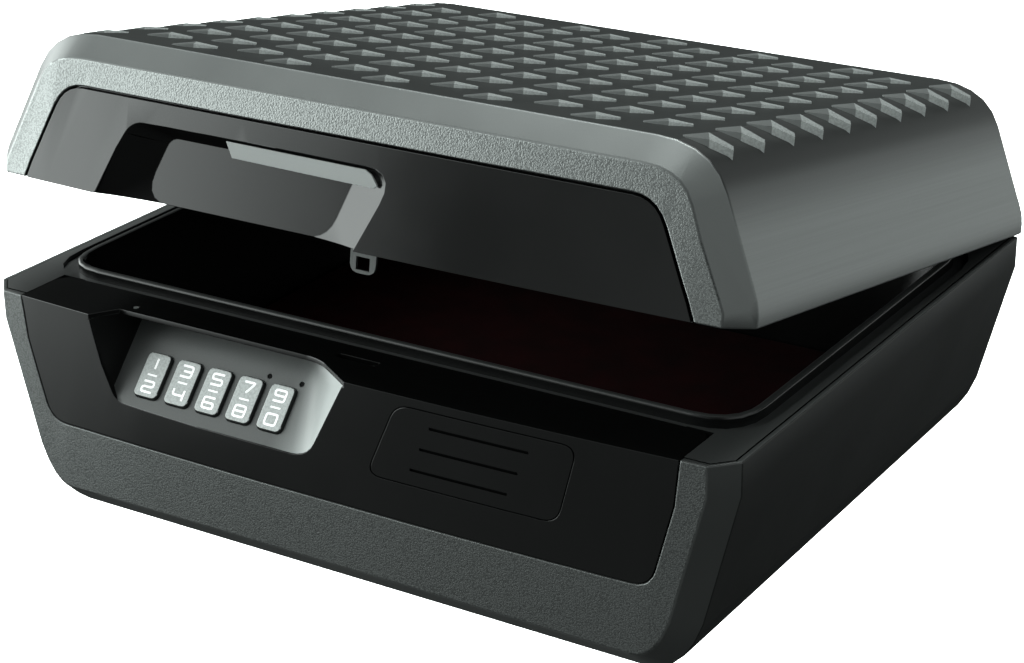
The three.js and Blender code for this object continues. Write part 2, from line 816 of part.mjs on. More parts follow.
function cell(column, row) {
  const x = trayX + (column - 0.5) * (cellLength + cellNubLength + 2 * contactThickness);
  const y = trayBackY - trayWall - seam - cellRadius;
  const z = trayZ + (row - 0.5) * cellPitch;
  const towards = row === 0 ? 1 : -1;
  const can = rod('x', cellRadius, cellLength, x - towards * cellNubLength / 2, y, z, 24);
  const nubX = x + towards * (cellLength - cellNubLength) / 2;
  const nub = rod('x', cellNubRadius, cellNubLength * 2, nubX, y, z, 12);
  return join(can, nub);
}

function contact(side) {
  const x = trayX + side * (trayLength / 2 - seam - contactThickness / 2);
  const y = trayBackY - trayWall - seam - cellRadius;
  return box(
    [x - contactThickness / 2, y - cellRadius, trayZ - cellPitch / 2 - cellRadius],
    [x + contactThickness / 2, y + cellRadius, trayZ + cellPitch / 2 + cellRadius]);
}

const hookLowZ = lidZ - hookReach;
const boltZ = hookLowZ + hookEyeUp + seam;
const boltFrontY = latchY + hookThickness / 2 + boltGap;
const pinionX = latchX - boltWidth / 2 - seam - pinionRadius;
const pinionY = boltFrontY + boltLength / 2;
const plateTopZ = boltZ - seam;

function latchHook() {
  const low = [latchX - hookWidth / 2, latchY - hookThickness / 2, hookLowZ];
  const high = [latchX + hookWidth / 2, latchY + hookThickness / 2, lidZ + lidSill + seam + hookThickness];
  const plate = standing([
    [low[0], low[2], hookCorner],
    [high[0], low[2], hookCorner],
    [high[0], high[2], 0],
    [low[0], high[2], 0],
  ], low[1], high[1]);
  const foot = box([low[0], low[1], high[2] - hookThickness], [high[0], high[1] + hookFoot, high[2]]);
  const eye = box(
    [latchX - hookEyeWidth / 2, frontY, hookLowZ + hookEyeUp],
    [latchX + hookEyeWidth / 2, 0, hookLowZ + hookEyeUp + hookEyeHeight]);
  return cut(join(plate, foot), eye);
}

function latchBolt() {
  return box(
    [latchX - boltWidth / 2, boltFrontY, boltZ],
    [latchX + boltWidth / 2, boltFrontY + boltLength, boltZ + boltHeight]);
}

function latchPinion() {
  const wheel = rod('z', pinionRadius, boltHeight, pinionX, pinionY, boltZ + boltHeight / 2, 24);
  return cut(wheel, rod('z', shaftRadius + seam, trim, pinionX, pinionY, boltZ));
}

function latchMotor() {
  const top = plateTopZ - latchPlate - seam;
  const can = box(
    [pinionX - motorWidth / 2, pinionY - motorDepth / 2, top - motorHeight],
    [pinionX + motorWidth / 2, pinionY + motorDepth / 2, top]);
  const shaftTop = boltZ + boltHeight;
  const length = shaftTop - top + seam;
  return join(can, rod('z', shaftRadius, length, pinionX, pinionY, shaftTop - length / 2, 16));
}

// A plate that carries the bolt, the pinion and the motor, hung from the ledge by two cheeks.
function latchFrame() {
  const left = pinionX - motorWidth / 2 - seam - latchPlate;
  const right = left + latchFrameWidth;
  const front = pinionY - latchFrameDepth / 2;
  const back = pinionY + latchFrameDepth / 2;
  const top = ledgeZ - seam;
  const plate = box([left, front, plateTopZ - latchPlate], [right, back, plateTopZ]);
  const cheeks = [left, right - latchPlate].map((x) => box(
    [x, front, plateTopZ - latchPlate], [x + latchPlate, back, top]));
  const guideX = latchX + boltWidth / 2 + seam;
  const guide = box([guideX, front, plateTopZ - latchPlate], [guideX + latchPlate, back, boltZ + boltHeight]);
  return cut(join(plate, ...cheeks, guide), rod('z', shaftRadius + seam, trim, pinionX, pinionY, plateTopZ));
}

// A hinge leaf profile in Y and Z: a round knuckle with a straight neck.
function knuckleSolid(lowX, highX) {
  return rod('x', knuckleRadius, highX - lowX, (lowX + highX) / 2, hingeY, hingeZ, 24);
}

function hingeBore(x) {
  return rod('x', pinRadius + pinClearance, bodyWidth / 2, x, hingeY, hingeZ, 24);
}

function hingeSeat(x) {
  const floorZ = notchFloorZ + seam;
  const half = notchHalf - seam;
  const plate = box(
    [x - half, rearY - notchDepth + seam, floorZ], [x + half, rearY - seam, floorZ + shellWall]);
  const ears = [-1, 1].map((side) => {
    const inner = x + side * (armWidth / 2 + seam);
    const outer = inner + side * earWidth;
    const low = Math.min(inner, outer);
    const high = Math.max(inner, outer);
    const neck = box([low, hingeY - knuckleRadius, floorZ], [high, rearY - seam, hingeZ]);
    return join(knuckleSolid(low, high), neck);
  });
  return cut(join(plate, ...ears), hingeBore(x));
}

function hingePin(x) {
  const half = armWidth / 2 + seam + earWidth;
  const shank = rod('x', pinRadius, 2 * half + pinHead, x, hingeY, hingeZ, 20);
  const heads = [-1, 1].map((side) => rod(
    'x', pinRadius + pinHead, pinHead, x + side * (half + seam + pinHead / 2), hingeY, hingeZ, 20));
  return join(shank, ...heads);
}

const armInnerY = innerRearY - seam;
const armTopZ = lidZ + armRise;

// The lid arm: up from the knuckle inside the notch, then behind the lid's rear wall.
function armOutline(margin) {
  const front = hingeY - knuckleRadius;
  return grow([
    [front, hingeZ],
    [rearY - seam, hingeZ],
    [rearY - seam, rimZ - shellWall - seam],
    [armInnerY, rimZ - seam],
    [armInnerY, armTopZ],
    [armInnerY - armThickness, armTopZ],
    [front, rimZ - shellWall],
  ], margin);
}

function armScrewPlaces(x) {
  return [-1, 1].map((side) => [x + side * screwSpread, armTopZ - armScrewDown]);
}

function hingeArm(x) {
  const low = x - armWidth / 2;
  const high = x + armWidth / 2;
  const holes = armScrewPlaces(x).map(([screwX, z]) => rod(
    'y', screwRadius + seam, trim, screwX, armInnerY, z, 16));
  return cut(join(sideways(armOutline(0), low, high), knuckleSolid(low, high)), hingeBore(x), ...holes);
}

function armScrew(x, z) {
  const headY = armInnerY - armThickness - seam - screwHeadHeight / 2;
  const head = rod('y', screwHeadRadius, screwHeadHeight, x, headY, z, 16);
  return join(head, rod('y', screwRadius, screwLength, x, headY + screwLength / 2, z, 16));
}

// Height of the lid's outside at a place across its width.
function lidTopAt(x) {
  const start = halfWidth - lidFlatIn;
  const bend = halfWidth - lidCurveIn;
  const end = halfWidth - lidShoulderIn;
  const square = start - 2 * bend + end;
  const single = 2 * (bend - start);
  const constant = start - Math.max(Math.abs(x), start);
  const along = (Math.sqrt(single * single - 4 * square * constant) - single) / (2 * square);
  return topZ - (lidHeight - lidShoulderHeight) * along * along;
}

// One tread stud: a long diamond with a crease across its middle. The outer studs follow the shoulder down.
function treadStud(x, y, rise, endRise) {
  const turn = THREE.MathUtils.degToRad(treadTurn);
  const along = new THREE.Vector2(Math.cos(turn), Math.sin(turn));
  const across = new THREE.Vector2(-along.y, along.x);
  const at = (length, width, lift) => {
    const placeX = x + along.x * length + across.x * width;
    return new THREE.Vector3(placeX, y + along.y * length + across.y * width, lidTopAt(placeX) + lift);
  };
  const half = treadLength / 2;
  const tip = treadTip / 2;
  const points = [];
  for (const side of [-1, 1]) {
    points.push(at(-half, side * tip, -seam), at(-half, side * tip, seam));
    points.push(at(0, side * treadWidth / 2, -seam), at(0, side * (treadWidth / 2 - seam), rise));
    points.push(at(half, side * tip, -seam), at(half, side * tip, endRise));
  }
  return solid(new ConvexGeometry(points));
}

function tread() {
  const studs = [];
  const firstY = frontY + treadFrontIn;
  for (let column = -treadColumns - 1; column <= treadColumns + 1; column += 1) {
    const x = treadShiftX + column * treadPitchX;
    const shift = column % 2 === 0 ? 0 : treadPitchY / 2;
    for (let y = firstY + shift; y < rearY - treadRearIn; y += treadPitchY) {
      if (column > treadColumns) studs.push(treadStud(x, y, bladeRise, bladeEndRise));
      else if (column < -treadColumns) studs.push(treadStud(x, y, lowBladeRise, seam));
      else studs.push(treadStud(x, y, treadRise, treadEndRise));
    }
  }
  return join(...studs);
}

function lidShell() {
  const inside = common(
    bodyBlock(lidSection(shellWall)),
    box([-halfWidth, innerFrontY, rimZ - trim], [halfWidth, innerRearY, topZ]));
  const outside = common(bodyBlock(lidSection(0)), lidFront());
  const opening = standing(grow(lidPanelOutline, lidPanelGap), frontY - trim, innerFrontY + seam);
  return cut(join(outside, tread()), inside, opening);
}

// The grip scoop as a convex space, or the larger one that its wall takes up.
function scoopSpace(margin) {
  const mouthY = frontY - scoopMouthOut;
  const floorY = mouthY + scoopDepth + margin;
  const lowZ = rimZ - scoopBelowRim;
  const headZ = rimZ + scoopRise;
  const floorHeadZ = rimZ + scoopFloorRise;
  const lean = (scoopHeadLeft - scoopFootLeft) / scoopRise * scoopBelowRim;
  const mouth = grow([
    [scoopFootLeft - lean, lowZ, 0],
    [scoopFootRight - lean, lowZ, 0],
    [scoopHeadRight, headZ, scoopRoundRight],
    [scoopHeadLeft, headZ, scoopRoundLeft],
  ], margin);
  const floor = grow([
    [scoopFloorLeft, rimZ, scoopFloorRoundLeft],
    [scoopFloorRight, rimZ, scoopFloorRoundRight],
    [scoopFloorHeadRight, floorHeadZ, scoopFloorCorner],
    [scoopFloorHeadLeft, floorHeadZ, scoopFloorCorner],
  ], margin);
  const points = outlinePoints(mouth).map(({ x, y }) => new THREE.Vector3(x, mouthY, y));
  points.push(...outlinePoints(floor).map(({ x, y }) => new THREE.Vector3(x, floorY, y)));
  return join(solid(new ConvexGeometry(points)), standing(mouth, frontY - trim, mouthY));
}

function lidFrontPanel() {
  const keep = box([-halfWidth, frontY - trim, lidZ], [halfWidth, rearY, topZ]);
  const skin = panelSkin(lidPanelOutline, lidFront, keep);
  const half = lidPanelHalfWidth - lidPanelBendIn;
  const sill = common(
    box([-half, frontY - trim, lidZ], [half, ledgeBackY - lidFlange, lidZ + lidSill]), lidFront(0));
  const scoopShell = common(scoopSpace(scoopWall), lidFront(seam), keep);
  const slot = box(
    [latchX - hookWidth / 2 - seam, latchY - hookThickness / 2 - seam, rimZ],
    [latchX + hookWidth / 2 + seam, latchY + hookThickness / 2 + seam, lidZ + lidSill + seam]);
  return cut(join(skin, sill, scoopShell), scoopSpace(0), slot);
}

const channelOuter = grow(tubOutline, (lipWidth + channelWidth) / 2);
const channelInner = grow(tubOutline, (lipWidth - channelWidth) / 2);

function lidTray(margin) {
  const mouth = grow(channelInner, margin - channelLand);
  const head = drawnIn(mouth, trayDraft, trayDraft);
  return loft([ringOf(mouth, rimZ - seam), ringOf(head, rimZ + trayRise + margin)]);
}

// Flange of the lid tray: inside the shell, and behind the sill of the front panel
function lidPlate() {
  const side = halfWidth - shellWall - seam;
  const inner = lidPanelHalfWidth + panelFlange;
  return cut(
    box([-side, frontY + cornerCutDepth, lidZ], [side, innerRearY - seam, lidZ + lidFlange]),
    box([-inner, frontY, 0], [inner, ledgeBackY - lidFlange + seam, topZ]));
}

function lidLiner() {
  const channel = cut(
    lying(channelOuter, rimZ - trim, lidZ + channelDepth),
    lying(channelInner, rimZ - trim, topZ));
  const wall = common(lidTray(linerWall), box([-halfWidth, frontY, lidZ], [halfWidth, rearY, topZ]));
  let liner = cut(join(lidPlate(), wall), channel, lidTray(0));
  for (const [, x] of hingePlaces) liner = cut(liner, armClearance(x));
  return liner;
}

function armClearance(x) {
  const half = armWidth / 2 + 2 * seam;
  const frontOfScrews = armInnerY - armThickness - screwHeadHeight - 3 * seam;
  return box([x - half, frontOfScrews, rimZ - trim], [x + half, rearY + trim, armTopZ + 2 * seam]);
}

function lidInsulation() {
  const inset = shellWall + seam;
  const lowZ = lidZ + lidFlange + seam;
  let filling = common(
    bodyBlock(lidSection(inset)),
    box([-halfWidth, innerFrontY + seam, lowZ], [halfWidth, innerRearY - seam, topZ - inset]));
  const half = lidPanelHalfWidth + panelFlange + seam;
  const bayTop = rimZ + lidPanelRise + panelFlange + seam;
  const bay = box([-half, frontY, rimZ], [half, ledgeBackY - lidFlange + seam, bayTop]);
  filling = cut(filling, bay, lidTray(linerWall + seam));
  for (const [, x] of hingePlaces) filling = cut(filling, armClearance(x));
  return filling;
}

function lidGasket() {
  const outer = grow(tubOutline, (lipWidth + gasketWidth) / 2);
  const inner = grow(tubOutline, (lipWidth - gasketWidth) / 2);
  const high = lidZ + channelDepth - seam;
  return cut(lying(outer, high - gasketHeight, high), lying(inner, rimZ, topZ));
}

function addPiece(group, name, piece, look) {
  const mesh = new THREE.Mesh(geometryOf(piece), look);
  mesh.name = name;
  group.add(mesh);
}

const chest = new THREE.Group();

addPiece(chest, 'base_shell', baseShell(), shellLook);
addPiece(chest, 'base_liner', baseLiner(), linerLook);
addPiece(chest, 'base_insulation', baseInsulation(), fillLook);
addPiece(chest, 'floor_pad', floorPad(), feltLook);
addPiece(chest, 'base_front_panel', baseFrontPanel(), glossLook);
addPiece(chest, 'ledge_lamp', ledgeLamp(), lensLook);
addPiece(chest, 'battery_cover', batteryDoor(), glossLook);
addPiece(chest, 'battery_tray', batteryTray(), rubberLook);
for (const column of [0, 1]) {
  for (const row of [0, 1]) addPiece(chest, `cell_${2 * row + column + 1}`, cell(column, row), cellLook);
}
addPiece(chest, 'contact_left', contact(-1), steelLook);
addPiece(chest, 'contact_right', contact(1), steelLook);
addPiece(chest, 'latch_frame', latchFrame(), steelLook);
addPiece(chest, 'latch_motor', latchMotor(), steelLook);
addPiece(chest, 'latch_pinion', latchPinion(), brassLook);
addPiece(chest, 'latch_bolt', latchBolt(), steelLook);

const keypad = new THREE.Group();
keypad.position.set(0, pocketMouthY, pocketFootZ);
keypad.rotation.x = floorTurn;
chest.add(keypad);
keyPlaces.forEach((x, key) => {
  addPiece(keypad, `key_${2 * key + 1}_${(2 * key + 2) % 10}`, keyCap(x), keyLook);
});
addPiece(keypad, 'keypad_mat', keypadMat(), rubberLook);
addPiece(keypad, 'keypad_board', keypadBoard(), boardLook);
addPiece(keypad, 'status_lamp_left', statusLamp(lampX[0]), lampLook);
addPiece(keypad, 'status_lamp_right', statusLamp(lampX[1]), lampLook);

// The lid turns about its hinge line and stands part open.
const swing = new THREE.Group();
swing.position.set(0, hingeY, hingeZ);
swing.rotation.x = -THREE.MathUtils.degToRad(restOpening);
chest.add(swing);
const lid = new THREE.Group();
lid.position.set(0, -hingeY, -hingeZ);
swing.add(lid);
addPiece(lid, 'lid_shell', lidShell(), lidLook);
addPiece(lid, 'lid_front_panel', lidFrontPanel(), glossLook);
addPiece(lid, 'lid_liner', lidLiner(), linerLook);
addPiece(lid, 'lid_insulation', lidInsulation(), fillLook);
addPiece(lid, 'lid_gasket', lidGasket(), rubberLook);
addPiece(lid, 'latch_hook', latchHook(), steelLook);
for (const [side, x] of hingePlaces) {
  addPiece(chest, `hinge_seat_${side}`, hingeSeat(x), steelLook);
  addPiece(chest, `hinge_pin_${side}`, hingePin(x), steelLook);
  addPiece(lid, `hinge_arm_${side}`, hingeArm(x), steelLook);
  armScrewPlaces(x).forEach(([screwX, z], place) => {
    addPiece(lid, `hinge_screw_${side}_${place + 1}`, armScrew(screwX, z), steelLook);
  });
}

export default chest;
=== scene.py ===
# Looks of the portable chest: rounded housings, glossy panels, key digits, felt, light and camera.
# Lengths in the drawing part are millimetres and are turned to metres where a mesh is made.
import math

import bmesh
import bpy
from mathutils import Matrix, Vector


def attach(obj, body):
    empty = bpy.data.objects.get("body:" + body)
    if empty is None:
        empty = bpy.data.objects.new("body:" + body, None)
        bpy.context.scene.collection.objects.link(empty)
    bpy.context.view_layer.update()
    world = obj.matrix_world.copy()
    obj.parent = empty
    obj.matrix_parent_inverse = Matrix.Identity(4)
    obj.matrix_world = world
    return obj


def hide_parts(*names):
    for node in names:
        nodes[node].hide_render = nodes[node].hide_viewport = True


MM = 0.001

# Camera of the photograph
CAMERA_PLACE = (0.6055, -0.9571, 0.5450)
CAMERA_YAW = math.radians(-32.35)
CAMERA_PITCH = math.radians(22.72)
CAMERA_ROLL = math.radians(-0.74)
CAMERA_LENS = 85.9
CAMERA_SENSOR = 36

# The lid stands part open about its hinge line
HINGE = Vector((0, 156, 84)) * MM
OPENING = math.radians(10.47)
CLOSED_TO_REST = (
    Matrix.Translation(HINGE) @ Matrix.Rotation(-OPENING, 4, "X") @ Matrix.Translation(-HINGE))

# The keypad floor: X across, Y up the slope and Z out of it
KEYPAD_PLACE = Vector((0, -162, 65.5)) * MM
KEYPAD_SLOPE = math.radians(48)
KEYPAD = Matrix.Translation(KEYPAD_PLACE) @ Matrix.Rotation(KEYPAD_SLOPE, 4, "X")
KEY_TOP = 1.8
KEY_UP = 18.1
KEY_PITCH = 18.25
LAST_KEY_X = -34.2

# Main sizes of the closed housing
RIM_Z = 109
LID_TOP_Z = 181
LID_SHOULDER_DROP = 19
LID_FLAT_X = 149
LID_CURVE_X = 175
LID_SHOULDER_X = 183.5
SIDE_X = 202.5
LID_REAR_Y = 150
LID_BAND_Y = -146.6
LID_FACE_Y = -150
BASE_FACE_Y = -150
BASE_CHAMFER_Y = -140
RIM_FLOOR_Z = 100
LIP_LOW_Z = 111.5
PAD_LOW_Z = 45

# Places of the keypad pocket, the grip scoop and the tread, each as low and high limits
POCKET_X = (-137, 16)
POCKET_Z = (64, 106.6)
POCKET_MOUTH_Y = -161
SCOOP_X = (-136, 34)
SCOOP_HIGH_Z = 148
SCOOP_MOUTH_Y = -159.8
TREAD_Y = (-145, 150)
TREAD_LOW_Z = 158
LID_TOP_LOW_Z = 170

# Pale plate of the scoop: its outline across and up from the rim, and its front and back
TRIM_OUTLINE = [(-60.2, 36.9), (-56.3, 29.8), (21, 29.0), (23, 30.4), (19.5, 35), (16, 36.6)]
TRIM_FRONT_Y = -160.2
TRIM_BACK_Y = -159.2

# Widths of the rounded edges
HOUSING_ROUND = 0.9
KINK_ROUND = 5.0
PANEL_ROUND = 0.35
DOOR_ROUND = 0.3
TRIM_ROUND = 0.2
LIP_ROUND = 1.5
KEY_ROUND = 0.7
PAD_ROUND = 1.2

# Folds, as angles between faces
FLAT_FOLD = math.radians(0.7)
KINK_FOLD = math.radians(8)
HOUSING_FOLD = math.radians(18)
PANEL_FOLD = math.radians(25)
ZONE_FOLD = math.radians(4)
SHARP_FOLD = math.radians(40)
SQUARE_FOLD = math.radians(60)
SMOOTH_BELOW = math.radians(32)

# How squarely a face looks along an axis, as the cosine of the angle between them
FRONT_FACING = 0.97
SLOPE_FACING = 0.3
TOP_FACING = 0.9
REAR_FACING = 0.5
STUD_TOP_FACING = 0.7
SHOULDER_FACING = 0.2
KEY_TOP_FACING = 0.5
POCKET_FLOOR_FACING = 0.95
POCKET_SIDE_FACING = 0.5
SCOOP_FLOOR_FACING = 0.999
SCOOP_WALL_FACING = 0.995
SCOOP_SIDE_FACING = 0.1

# Shortest edge along a side, least rise of a stud's corner and depth of a key's top edges
SIDE_EDGE = 100
STUD_RISE = 0.25
KEY_EDGE = 0.1

# Heights of the battery door's grooves and how far their faces reach from them
GROOVES = (73.7, 85.0, 96.3)
GROOVE_REACH = 0.9

# Digits of the keys
DIGIT_WIDTH = 6.2
DIGIT_HEIGHT = 5.3
DIGIT_STROKE = 1.05
BAR_STROKE = 0.8 * DIGIT_STROKE
DIGIT_CORNER = 1.1
DIGIT_SHIFT = 5.9
DIGIT_LIFT = 0.03
BAR_WIDTH = 5.6

# Tread of the lid: pitches and first place of its studs, and the way they point
TREAD_PITCH_X = 26.8
TREAD_PITCH_Y = 29.3
TREAD_SHIFT_X = 4.9
TREAD_FIRST_Y = -133
TREAD_TURN = math.radians(30.5)

# Colours: the tint of all greys and of the light
GREY_TINT = (0.95, 1.0, 0.985)
LIGHT_TINT = (0.93, 1.0, 0.98, 1)

# How far the pebbles of a grain are pushed out of line, in metres
PEBBLE_WOBBLE = 0.0009

# Floor and the light for it, in metres and watts
FLOOR_HALF = 6
FLOOR_Z = -0.0002
FLOOR_LIGHT_SIZE = 4
FLOOR_LIGHT_HEIGHT = 3
FLOOR_LIGHT_POWER = 500

# Dome of light: its strength low down and overhead, and the elevations between which it changes
DOME_LOW = 0.03
DOME_HIGH = 0.25
DOME_FADE = (20, 65)

# Each card of light: middle azimuth from the front to the left, half width and its fade,
# lower end and its fade, upper end and its fade, all in degrees, and strength
LIGHT_CARDS = [
    (76, 32, 13, -3, 27, 22, 20, 4.9),
    (48, 14, 18, 36, 14, 46, 14, 1.6),
    (12, 8, 14, -8, 12, 25, 15, 0.35),
    (20, 14, 20, -40, 10, -12, 12, 0.12),
    (-160, 24, 15, -15, 9, 0, 7, 1.3),
    (165, 26, 40, 62, 20, 78, 12, 14.0),
    (-85, 30, 25, 8, 12, 45, 15, 0.7),
]

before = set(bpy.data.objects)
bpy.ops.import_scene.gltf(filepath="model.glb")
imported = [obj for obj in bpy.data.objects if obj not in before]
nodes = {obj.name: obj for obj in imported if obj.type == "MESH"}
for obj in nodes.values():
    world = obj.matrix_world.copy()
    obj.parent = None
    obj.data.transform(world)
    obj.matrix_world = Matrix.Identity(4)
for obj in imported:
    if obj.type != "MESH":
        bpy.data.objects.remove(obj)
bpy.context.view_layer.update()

# Materials by name
LOOKS = {}


# ---- Node graphs ----

class Graph:
    """A node tree with short ways to add nodes and join them."""

    def __init__(self, tree):
        self.tree = tree

    def add(self, kind, inputs=None, **settings):
        node = self.tree.nodes.new(kind)
        for name, value in settings.items():
            setattr(node, name, value)
        for name, value in (inputs or {}).items():
            self.feed(node.inputs[name], value)
        return node

    def maths(self, operation, *values):
        node = self.add("ShaderNodeMath", operation=operation)
        for index, value in enumerate(values):
            self.feed(node.inputs[index], value)
        return node.outputs[0]

    def ramp(self, value, low, high, to_low=0.0, to_high=1.0):
        node = self.add("ShaderNodeMapRange", {
            "Value": value, "From Min": low, "From Max": high, "To Min": to_low, "To Max": to_high,
        }, interpolation_type="SMOOTHSTEP")
        return node.outputs["Result"]

    def mix(self, share, first, second):
        node = self.add("ShaderNodeMix", data_type="RGBA")
        for index, value in ((0, share), (6, first), (7, second)):
            self.feed(node.inputs[index], value)
        return node.outputs[2]

    def link(self, output, socket):
        self.tree.links.new(output, socket)

    def feed(self, socket, value):
        """Joins an output to a socket, or sets a plain number or colour on it."""
        if isinstance(value, bpy.types.NodeSocket):
            self.link(value, socket)
        else:
            socket.default_value = value


def grey(value):
    return (*(value * part for part in GREY_TINT), 1)


def new_look(name, roughness, metallic=0.0, specular=0.5):
    """Starts a material and files it under its name."""
    material = bpy.data.materials.new(name)
    LOOKS[name] = material
    material.use_nodes = True
    graph = Graph(material.node_tree)
    shader = material.node_tree.nodes["Principled BSDF"]
    shader.inputs["Roughness"].default_value = roughness
    shader.inputs["Metallic"].default_value = metallic
    shader.inputs["Specular IOR Level"].default_value = specular
    return graph, shader


def place(graph, scale=(1, 1, 1), turn=0.0):
    """Places on the object, turned about X and then scaled."""
    where = graph.add("ShaderNodeTexCoord").outputs["Object"]
    turned = graph.add("ShaderNodeMapping", {"Vector": where, "Rotation": (turn, 0, 0)}).outputs[0]
    return graph.add("ShaderNodeMapping", {"Vector": turned, "Scale": scale}).outputs[0]


def noise(graph, vector, scale, detail=3.0, roughness=0.5):
    return graph.add("ShaderNodeTexNoise", {
        "Vector": vector, "Scale": scale, "Detail": detail, "Roughness": roughness}).outputs["Fac"]


def bump(graph, shader, height, distance):
    node = graph.add("ShaderNodeBump", {"Height": height, "Distance": distance})
    graph.link(node.outputs["Normal"], shader.inputs["Normal"])


def grained(name, dark, light, roughness, depth, grain, metallic=0.0, specular=0.5):
    """Moulded plastic with a pebbled grain, lighter on the tops of the pebbles: painted light and
    shade that follow the grain's height.
    """
    graph, shader = new_look(name, roughness, metallic, specular)
    where = place(graph)
    wobble = graph.add("ShaderNodeTexNoise", {"Vector": where, "Scale": 500.0, "Detail": 2.0})
    shifted = graph.add("ShaderNodeVectorMath", operation="MULTIPLY_ADD")
    graph.link(wobble.outputs["Color"], shifted.inputs[0])
    shifted.inputs[1].default_value = (PEBBLE_WOBBLE,) * 3
    graph.link(where, shifted.inputs[2])
    pebbles = graph.add("ShaderNodeTexVoronoi", {
        "Vector": shifted.outputs[0], "Scale": 1000 / grain,
    }, feature="SMOOTH_F1").outputs["Distance"]
    height = graph.ramp(pebbles, 0.15, 0.75, 1.0, 0.0)
    fine = noise(graph, where, 2600.0, 2.0)
    total = graph.maths("MULTIPLY_ADD", fine, 0.35, height)
    # Lighter pebble tops and darker hollows: painted light and shade; the broad noise below is
    # tone that differs at random.
    shade = graph.ramp(total, 0.2, 1.2)
    broad = noise(graph, where, 14.0)
    share = graph.maths("MULTIPLY_ADD", broad, 0.2, shade)
    graph.link(graph.mix(share, dark, light), shader.inputs["Base Color"])
    bump(graph, shader, total, depth * MM)


def moulded(name, dark, light, roughness, depth, metallic=0.0, specular=0.5):
    """Smooth moulded plastic or paint: a faint even grain and slow colour changes."""
    graph, shader = new_look(name, roughness, metallic, specular)
    where = place(graph)
    fine = noise(graph, where, 2000.0, 2.0)
    broad = noise(graph, where, 22.0)
    share = graph.maths("MULTIPLY_ADD", fine, 0.45, graph.maths("MULTIPLY", broad, 0.55))
    graph.link(graph.mix(share, dark, light), shader.inputs["Base Color"])
    worn = graph.ramp(broad, 0.3, 0.7, roughness * 0.92, roughness * 1.08)
    graph.link(worn, shader.inputs["Roughness"])
    bump(graph, shader, fine, depth * MM)


def brushed(name, dark, light, roughness, stretch, depth, metallic):
    """Metal with faint lines drawn along one axis."""
    graph, shader = new_look(name, roughness, metallic)
    lines = noise(graph, place(graph, stretch), 1.0, 3.0, 0.6)
    fine = noise(graph, place(graph), 2200.0, 1.0)
    share = graph.maths("MULTIPLY_ADD", lines, 0.7, graph.maths("MULTIPLY", fine, 0.3))
    graph.link(graph.mix(graph.ramp(share, 0.3, 0.7), dark, light), shader.inputs["Base Color"])
    worn = graph.ramp(lines, 0.3, 0.7, roughness * 0.9, roughness * 1.1)
    graph.link(worn, shader.inputs["Roughness"])
    bump(graph, shader, share, depth * MM)


def sided(name, side, top, inner, outer, roughness, stretch):
    """Satin plastic with faint lines along the lid. It pales from the top's edge to the side; the
    dark tone of the top and over the shoulder is painted shade.
    """
    graph, shader = new_look(name, roughness, 0.2)
    where = graph.add("ShaderNodeTexCoord").outputs["Object"]
    parts = graph.add("ShaderNodeSeparateXYZ", {"Vector": where})
    across = graph.maths("ABSOLUTE", parts.outputs["X"])
    sideness = graph.ramp(across, inner * MM, outer * MM)
    lines = noise(graph, place(graph, stretch, OPENING), 1.0, 3.0, 0.6)
    fine = noise(graph, where, 1800.0, 2.0)
    grain = graph.maths("MULTIPLY_ADD", lines, 0.65, graph.maths("MULTIPLY", fine, 0.35))
    bright = graph.mix(grain, grey(side * 0.72), grey(side * 1.28))
    # Dark tone of the top, reached over the shoulder: painted shade.
    painted_shade_top_tone = graph.mix(fine, grey(top * 0.85), grey(top * 1.15))
    graph.link(graph.mix(sideness, painted_shade_top_tone, bright), shader.inputs["Base Color"])
    bump(graph, shader, grain, 0.015 * MM)


def painted_reflection_graded(name, dark, light, start, end, roughness, specular):
    """Satin moulded plastic that pales along X between two places: a painted reflection
    brightening the keypad pocket toward its right wall.
    """
    graph, shader = new_look(name, roughness, specular=specular)
    where = place(graph)
    along = graph.add("ShaderNodeSeparateXYZ", {"Vector": where}).outputs["X"]
    fine = noise(graph, where, 1600.0, 2.0)
    # Painted reflection: paler toward the right wall, where a glossy wall would mirror the light.
    painted_reflection_share = graph.ramp(along, start * MM, end * MM)
    share = graph.maths("MULTIPLY_ADD", fine, 0.06, painted_reflection_share)
    graph.link(graph.mix(share, dark, light), shader.inputs["Base Color"])
    bump(graph, shader, fine, 0.005 * MM)


def felted(name, dark, light):
    """Short felt: matted fibres with a soft sheen."""
    graph, shader = new_look(name, 0.95, specular=0.03)
    shader.inputs["Sheen Weight"].default_value = 0.04
    shader.inputs["Sheen Roughness"].default_value = 0.5
    where = place(graph)
    fibres = graph.add("ShaderNodeTexNoise", {
        "Vector": where, "Scale": 1400.0, "Detail": 5.0, "Roughness": 0.7, "Distortion": 1.5,
    }).outputs["Fac"]
    patches = noise(graph, where, 45.0)
    share = graph.maths("MULTIPLY_ADD", patches, 0.4, graph.maths("MULTIPLY", fibres, 0.7))
    graph.link(graph.mix(graph.ramp(share, 0.3, 0.8), dark, light), shader.inputs["Base Color"])
    bump(graph, shader, fibres, 0.25 * MM)


def painted_glow(name, color, strength, roughness):
    """Print with a painted glow: it gives a little light of its own though it is no lamp."""
    graph, shader = new_look(name, roughness)
    fine = noise(graph, place(graph), 900.0, 2.0)
    shade = graph.mix(fine, color, tuple(min(1.0, part * 1.08) for part in color[:3]) + (1,))
    graph.link(shade, shader.inputs["Base Color"])
    shader.inputs["Emission Color"].default_value = color
    shader.inputs["Emission Strength"].default_value = strength


